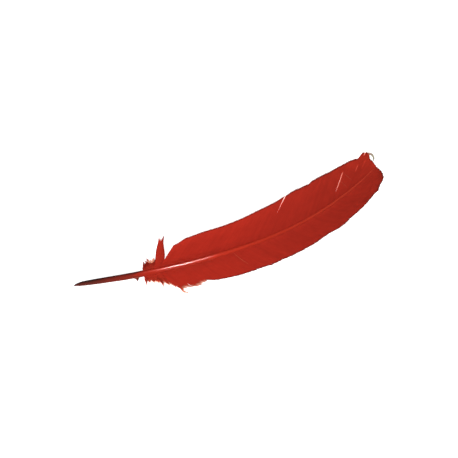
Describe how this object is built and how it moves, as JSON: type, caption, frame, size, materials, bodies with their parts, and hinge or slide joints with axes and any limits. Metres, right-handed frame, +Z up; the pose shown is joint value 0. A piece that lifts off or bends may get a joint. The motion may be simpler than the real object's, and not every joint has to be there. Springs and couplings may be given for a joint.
{
  "type": "feather",
  "caption": "Dyed red wing feather lying on a surface: bare pointed quill, a broad and a narrow vane of barbs with splits, a loose lock and down at the base.",
  "frame": {"origin": "middle of the bounding box, on the surface that the feather lies on", "axes": "+X along the feather's chord from the quill's point to the vane's tip, +Y towards the broad inner vane, +Z up, away from the surface, on the feather's outer (dorsal) side"},
  "size_m": [0.2952, 0.0628, 0.0113],
  "materials": {
    "shaft_horn": "satin",
    "vane_barbs": "matte",
    "down": "matte",
    "dried_sheath": "matte"
  },
  "bodies": {
    "root": {"shaft": "shaft_horn", "inner_vane": "vane_barbs", "outer_vane": "vane_barbs", "loose_lock": "vane_barbs", "inner_down": "down", "outer_down": "down", "sheath_scrap": "dried_sheath"}
  },
  "joints": []
}
